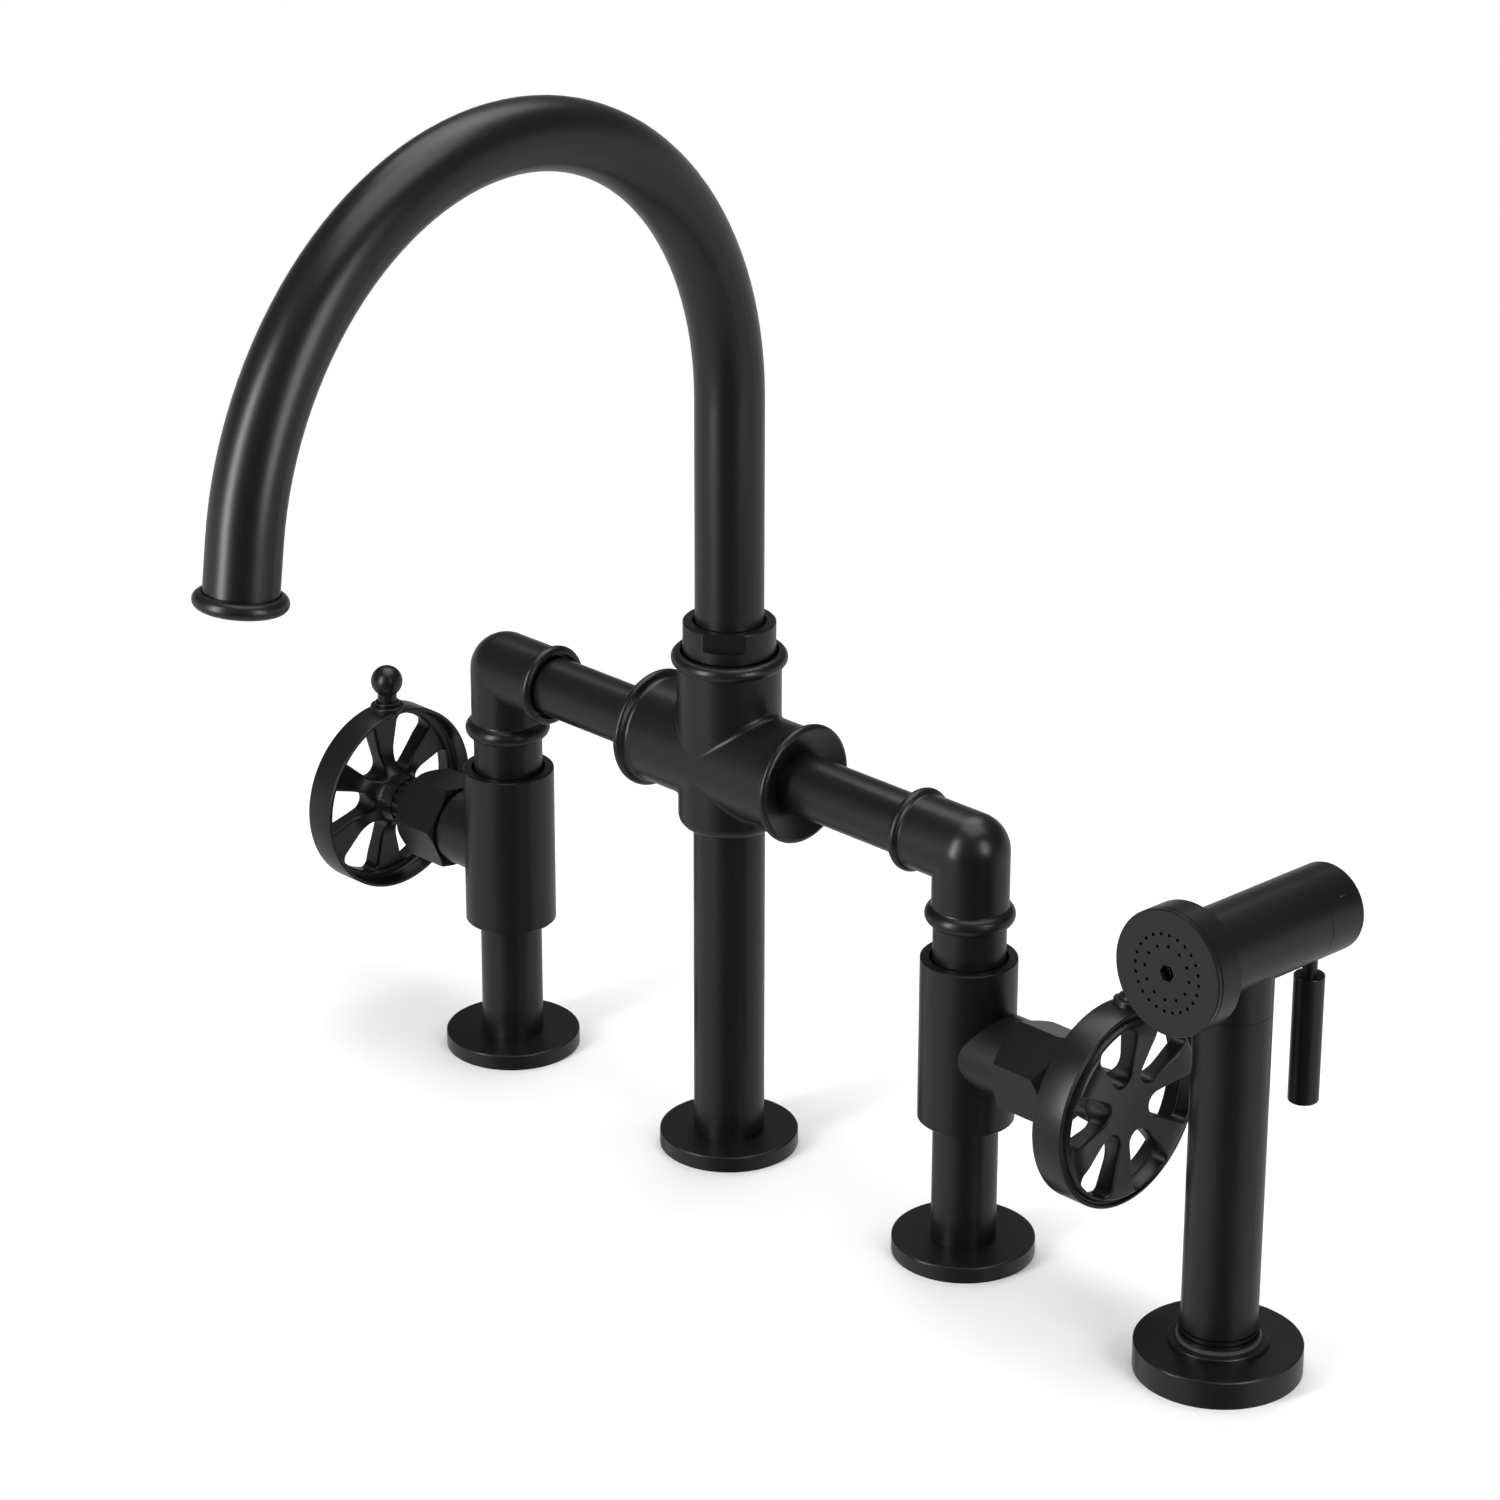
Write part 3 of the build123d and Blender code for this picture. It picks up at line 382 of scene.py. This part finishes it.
def openingLoop(shape, gap):
    # outline of an opening, widened by a gap, counter-clockwise from the near side of its point
    spread = radians(shape["spread"])
    reach = rimInside(shape) - shape["rimGap"]
    tipAt = shape["apex"] + shape["tipRound"] / sin(spread)
    cornerAt = reach - shape["cornerRound"]
    bend = spread - asin((shape["apex"] * sin(spread) + shape["cornerRound"]) / cornerAt)
    corner = (cornerAt * cos(bend), cornerAt * sin(bend))
    steps = shape["loopSteps"]
    loop = []

    def arc(centre, radius, first, last, count):
        for step in range(count):
            angle = first + (last - first) * step / count
            loop.append((centre[0] + radius * cos(angle), centre[1] + radius * sin(angle)))

    def run(first, last, count):
        for step in range(count):
            part = step / count
            loop.append((first[0] + (last[0] - first[0]) * part, first[1] + (last[1] - first[1]) * part))

    quarter = pi / 2 + spread
    tip = shape["tipRound"] + gap
    bow = shape["cornerRound"] + gap
    tipSide = (tipAt + tip * cos(quarter), tip * sin(quarter))
    bowSide = (corner[0] + bow * cos(quarter), corner[1] + bow * sin(quarter))
    arc((tipAt, 0), tip, quarter, 2 * pi - quarter, steps["tip"])
    run((tipSide[0], -tipSide[1]), (bowSide[0], -bowSide[1]), steps["side"])
    arc((corner[0], -corner[1]), bow, -quarter, -bend, steps["corner"])
    arc((0, 0), reach + gap, -bend, bend, steps["end"])
    arc(corner, bow, bend, quarter, steps["corner"])
    run(bowSide, tipSide, steps["side"])
    return loop


def inside(loop, x, y):
    crossings = 0
    for (ax, ay), (bx, by) in zip(loop, loop[1:] + loop[:1]):
        if (ay > y) != (by > y) and x < ax + (bx - ax) * (y - ay) / (by - ay):
            crossings += 1
    return crossings % 2 == 1


def sectorAngles(shape, steps):
    return [pi / shape["spokes"] * (2 * step / steps - 1) for step in range(steps + 1)]


def webPoints(shape):
    # points on rings round the hub, clear of the opening
    inner = rimInside(shape)
    margin = openingLoop(shape, shape["edge"] + shape["clearance"])
    radii = list(shape["hubRings"])
    for first, apart, count in (shape["webRings"], shape["crestRings"]):
        radii += [first + apart * step for step in range(count)]
    points = []
    for radius in radii + [inner]:
        steps = max(1, int(radius * 2 * pi / shape["spokes"] / shape["pitch"]))
        if radius > shape["denseFrom"]:
            steps = shape["arcSteps"]
        angles = sectorAngles(shape, steps) if radius else [0]
        for x, y in [(radius * cos(angle), radius * sin(angle)) for angle in angles]:
            if radius == inner or not inside(margin, x, y):
                points.append(Vector((x, y)))
    return points


def addWeb(bm, shape, front, rear):
    # both faces of the web, outside the opening's rounded edge
    clear = openingLoop(shape, shape["edge"])
    points = [Vector(point) for point in clear] + webPoints(shape)
    ring = list(range(len(clear)))
    edges = list(zip(ring, ring[1:] + ring[:1]))
    places, _, faces, _, _, _ = delaunay_2d_cdt(points, edges, [], 0, 1e-6, False)
    heads = [bm.verts.new((point.x, point.y, front(point.length))) for point in places]
    feet = [bm.verts.new((point.x, point.y, rear(point.length))) for point in places]
    for face in faces:
        one, two, three = (places[i] for i in face)
        middle = (one + two + three) / 3
        area = (two - one).cross(three - one) / 2
        if area > shape["sliver"] and not inside(clear, middle.x, middle.y):
            bm.faces.new([heads[i] for i in face])
            bm.faces.new([feet[i] for i in reversed(face)])


def addStrips(bm, rows, closed):
    # faces between neighbouring rows of points
    strips = [[bm.verts.new(point) for point in row] for row in rows]
    for one, two in zip(strips, strips[1:]):
        for i in range(len(one) if closed else len(one) - 1):
            j = (i + 1) % len(one)
            bm.faces.new((one[i], one[j], two[j], two[i]))


def addOpening(bm, shape, front, rear):
    # the opening's rounded edges on both sides of the web, and the wall between them
    edge = shape["edge"]
    outer = []
    valveSide = []
    for step in range(shape["edgeSteps"] + 1):
        angle = pi / 2 * step / shape["edgeSteps"]
        fall = edge * (1 - sin(angle))
        loop = openingLoop(shape, edge * (1 - cos(angle)))
        outer.append([(x, y, front(hypot(x, y)) - fall) for x, y in loop])
        valveSide.append([(x, y, rear(hypot(x, y)) + fall) for x, y in loop])
    wall = []
    for step in range(1, shape["wallSteps"]):
        part = step / shape["wallSteps"]
        pairs = zip(outer[0], valveSide[0])
        wall.append([(x, y, high + (low - high) * part) for (x, y, high), (_, _, low) in pairs])
    addStrips(bm, outer[::-1] + wall + valveSide, closed=True)


def addRim(bm, shape, front, rear):
    start, end = shape["rimSpan"]
    inner = rimInside(shape)
    rimRound = shape["rimRound"]
    innerRound = shape["innerRound"]
    outerAt = shape["rimRadius"] - rimRound
    innerAt = inner + innerRound
    profile = [(inner, front(inner))]
    for x, y, radius, first in (
        (innerAt, end - innerRound, innerRound, 180),
        (outerAt, end - rimRound, rimRound, 90),
        (outerAt, start + rimRound, rimRound, 0),
        (innerAt, start + innerRound, innerRound, -90),
    ):
        for step in range(shape["roundSteps"] + 1):
            angle = radians(first - 90 * step / shape["roundSteps"])
            profile.append((x + radius * cos(angle), y + radius * sin(angle)))
    profile.append((inner, rear(inner)))
    angles = sectorAngles(shape, shape["arcSteps"])
    rows = [[(r * cos(angle), r * sin(angle), height) for r, height in profile] for angle in angles]
    addStrips(bm, rows, closed=False)


def spokeSector(shape):
    # one spoke's share of the wheel about the Z axis, with its opening on the X axis
    front = outerFace(shape)
    rear = rearFace(shape)
    bm = bmesh.new()
    addWeb(bm, shape, front, rear)
    addOpening(bm, shape, front, rear)
    addRim(bm, shape, front, rear)
    bmesh.ops.remove_doubles(bm, verts=bm.verts, dist=shape["weld"])
    bmesh.ops.scale(bm, vec=(mm, mm, mm), verts=bm.verts)
    mesh = bpy.data.meshes.new("spokeSector")
    bm.to_mesh(mesh)
    bm.free()
    return mesh


def roundTree(name):
    # repeats what it is given round the Z axis and welds the copies together
    group = bpy.data.node_groups.new(name, "GeometryNodeTree")
    for title, kind in (
        ("Geometry", "NodeSocketGeometry"),
        ("Count", "NodeSocketInt"),
        ("First turn", "NodeSocketFloat"),
        ("Weld", "NodeSocketFloat"),
        ("Finish", "NodeSocketMaterial"),
    ):
        group.interface.new_socket(title, in_out="INPUT", socket_type=kind)
    group.interface.new_socket("Geometry", in_out="OUTPUT", socket_type="NodeSocketGeometry")
    tree = Tree(group)
    given = tree.add("NodeGroupInput")
    seats = tree.add("GeometryNodePoints", {}, {"Count": given.out("Count")})
    index = tree.add("GeometryNodeInputIndex")
    turn = given.out("First turn") + index * (2 * pi) / given.out("Count")
    euler = tree.add("ShaderNodeCombineXYZ", {}, {"Z": turn})
    way = tree.add("FunctionNodeEulerToRotation", {}, {0: euler})
    copies = tree.add(
        "GeometryNodeInstanceOnPoints", {}, {"Points": seats, "Instance": given, "Rotation": way}
    )
    real = tree.add("GeometryNodeRealizeInstances", {}, {"Geometry": copies})
    welded = tree.add("GeometryNodeMergeByDistance", {}, {"Geometry": real, "Distance": given.out("Weld")})
    dressed = tree.add("GeometryNodeSetMaterial", {}, {"Geometry": welded, "Material": given.out("Finish")})
    tree.add("NodeGroupOutput", {}, {0: dressed})
    return group


def grown(name, mesh, group, values):
    # runs a tree once on a mesh and keeps the result as a plain piece
    piece = bpy.data.objects.new(name, mesh)
    scene.collection.objects.link(piece)
    modifier = piece.modifiers.new("grow", "NODES")
    modifier.node_group = group
    sockets = {item.name: item.identifier for item in group.interface.items_tree if item.in_out == "INPUT"}
    for title, value in values.items():
        modifier[sockets[title]] = value
    bpy.context.view_layer.update()
    result = bpy.data.meshes.new_from_object(piece.evaluated_get(bpy.context.evaluated_depsgraph_get()))
    piece.modifiers.remove(modifier)
    piece.data = result
    return piece


def closeUp(mesh, weld, sharp):
    # faces outwards, smooth but for real corners
    bm = bmesh.new()
    bm.from_mesh(mesh)
    bmesh.ops.remove_doubles(bm, verts=bm.verts, dist=weld)
    bmesh.ops.recalc_face_normals(bm, faces=bm.faces)
    loose = sum(1 for edge in bm.edges if not edge.is_manifold)
    bm.to_mesh(mesh)
    bm.free()
    mesh.shade_smooth()
    mesh.set_sharp_from_angle(angle=radians(sharp))
    return loose


def addHandwheel(shape, sector, group, sideName, side):
    values = {
        "Count": shape["spokes"],
        "First turn": radians(90 - side * shape["lean"][sideName] + 180 / shape["spokes"]),
        "Weld": 2 * shape["weld"] * mm,
        "Finish": finishes["black_coat"],
    }
    wheel = grown(sideName + "WheelShown", sector, group, values)
    axes = Matrix(((0, 0, side), (side, 0, 0), (0, 1, 0))).to_4x4()
    at = (side * shape["legAt"] * mm, 0, shape["axisHeight"] * mm)
    wheel.data.transform(Matrix.Translation(at) @ axes)
    loose = closeUp(wheel.data, shape["weld"] * mm, shape["sharp"])
    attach(wheel, sideName + "_handle")
    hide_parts(sideName + "_handwheel")
    print(wheel.name, len(wheel.data.polygons), "faces,", loose, "open edges")


spokeMesh = spokeSector(wheelShape)
spokeTree = roundTree("spokes")
for sideName, side in (("left", -1), ("right", 1)):
    addHandwheel(wheelShape, spokeMesh, spokeTree, sideName, side)


# studio: pale floor at the deck's height, which glossy pieces don't mirror
floorLook = {
    "radius": 0.85,
    "sides": 96,
    "fade": (0.38, 0.833),         # it fades into the white background between these radii
    "colours": (0.93, 0.94),
    "mist": 40,
}


def paleFloor(look):
    material, tree = newMaterial("paleFloor")
    place = tree.add("ShaderNodeTexCoord", out="Object")
    distance = tree.add("ShaderNodeVectorMath", {"operation": "LENGTH"}, {0: place}, out="Value")
    fade = tree.ease(distance, *look["fade"])
    low, high = look["colours"]
    pale = tree.mix(tree.noise(place, look["mist"], 2.0), (low, low, low, 1), (high, high, high, 1))
    matte = tree.add("ShaderNodeBsdfDiffuse", {}, {"Color": pale})
    clear = tree.add("ShaderNodeBsdfTransparent")
    rays = tree.add("ShaderNodeLightPath")
    unseen = fade.larger(rays.out("Is Glossy Ray"))
    faded = tree.add("ShaderNodeMixShader", {}, {0: unseen, 1: matte, 2: clear})
    tree.add("ShaderNodeOutputMaterial", {}, {"Surface": faded})
    return material


def addFloor(look):
    mesh = bpy.data.meshes.new("floor")
    bm = bmesh.new()
    bmesh.ops.create_circle(bm, cap_ends=True, radius=look["radius"], segments=look["sides"])
    bm.to_mesh(mesh)
    bm.free()
    mesh.materials.append(paleFloor(look))
    floor = bpy.data.objects.new("floor", mesh)
    scene.collection.objects.link(floor)


worldLight = {
    "behind": (-0.70, 0.714),      # level direction from the camera to behind the object
    "room": (0.06, 0.55),          # light on the object, from the camera's side and from behind
    "roomFade": (-0.75, 0.25),
    "sweep": 0.60,                 # what glossy pieces mirror: the white sweep, and the dark roof above it
    "sweepFade": (-0.86, -0.58),
    "roof": 0.09,
    "roofFade": (-0.10, 0.22),
}


def addWorld(light):
    # the camera sees plain white
    world = bpy.data.worlds.new("studio")
    scene.world = world
    world.use_nodes = True
    world.node_tree.nodes.clear()
    tree = Tree(world.node_tree)
    way = tree.add("ShaderNodeTexCoord", out="Generated")
    apart = tree.add("ShaderNodeSeparateXYZ", {}, {0: way})
    facing = apart * light["behind"][0] + apart.out("Y") * light["behind"][1]
    near, far = light["room"]
    room = near + tree.ease(facing, *light["roomFade"]) * (far - near)
    below = 1 - tree.ease(apart.out("Z"), *light["roofFade"])
    sweep = tree.ease(facing, *light["sweepFade"]) * light["sweep"]
    mirrored = light["roof"] + below * (sweep - light["roof"])
    rays = tree.add("ShaderNodeLightPath")
    seen = rays.larger(rays.out("Is Transmission Ray"))
    glossy = rays.out("Is Glossy Ray")
    level = seen + (1 - seen) * (glossy * mirrored + (1 - glossy) * room)
    shine = tree.add("ShaderNodeBackground", {}, {"Color": (1, 1, 1, 1), "Strength": level})
    tree.add("ShaderNodeOutputWorld", {}, {"Surface": shine})


softboxes = {                      # where each stands, what it is turned to, its size and its power
    "left": {"at": (-0.12, -0.85, 0.47), "aim": (0.0, 0.0, 0.47), "size": (0.20, 0.84), "power": 7.0},
    "right": {"at": (1.05, -0.09, 0.50), "aim": (0.1, 0.0, 0.50), "size": (0.36, 0.84), "power": 6.0},
    "back": {"at": (-0.42, 0.47, 1.18), "aim": (0.06, -0.02, 0.2), "size": (1.0, 0.5), "power": 3.8},
    "top": {"at": (0.1, 0.2, 2.2), "aim": (0.06, -0.02, 0.14), "size": (1.8, 1.8), "power": 26},
}


def addSoftbox(name, box):
    lamp = bpy.data.lights.new(name, "AREA")
    lamp.shape = "RECTANGLE"
    lamp.size, lamp.size_y = box["size"]
    lamp.energy = box["power"]
    softbox = bpy.data.objects.new(name, lamp)
    scene.collection.objects.link(softbox)
    softbox.location = box["at"]
    aim = Vector(box["aim"]) - Vector(box["at"])
    softbox.rotation_euler = aim.to_track_quat("-Z", "Y").to_euler()
    softbox.visible_camera = False


cameraSpec = {                     # lengths in metres, lens and sensor in millimetres, angles in degrees
    "at": (1.00736, -1.0186, 0.75454),
    "azimuth": 44.425,
    "elevation": 23.327,
    "roll": 0.138,
    "lens": 120.32,
    "sensor": 36,
    "nearest": 0.05,
}


def addCamera(spec):
    azimuth = radians(spec["azimuth"])
    elevation = radians(spec["elevation"])
    roll = radians(spec["roll"])
    back = Vector((sin(azimuth) * cos(elevation), -cos(azimuth) * cos(elevation), sin(elevation)))
    flat = Vector((cos(azimuth), sin(azimuth), 0))
    rise = back.cross(flat)
    right = cos(roll) * flat + sin(roll) * rise
    above = -sin(roll) * flat + cos(roll) * rise
    camera = bpy.data.objects.new("camera", bpy.data.cameras.new("camera"))
    scene.collection.objects.link(camera)
    turn = Matrix((right, above, back)).transposed().to_4x4()
    camera.matrix_world = Matrix.Translation(spec["at"]) @ turn
    camera.data.lens = spec["lens"]
    camera.data.sensor_width = spec["sensor"]
    camera.data.clip_start = spec["nearest"]
    scene.camera = camera


addFloor(floorLook)
addWorld(worldLight)
for name, box in softboxes.items():
    addSoftbox(name + "Softbox", box)
addCamera(cameraSpec)
scene.view_settings.view_transform = "Standard"
print("studio set")
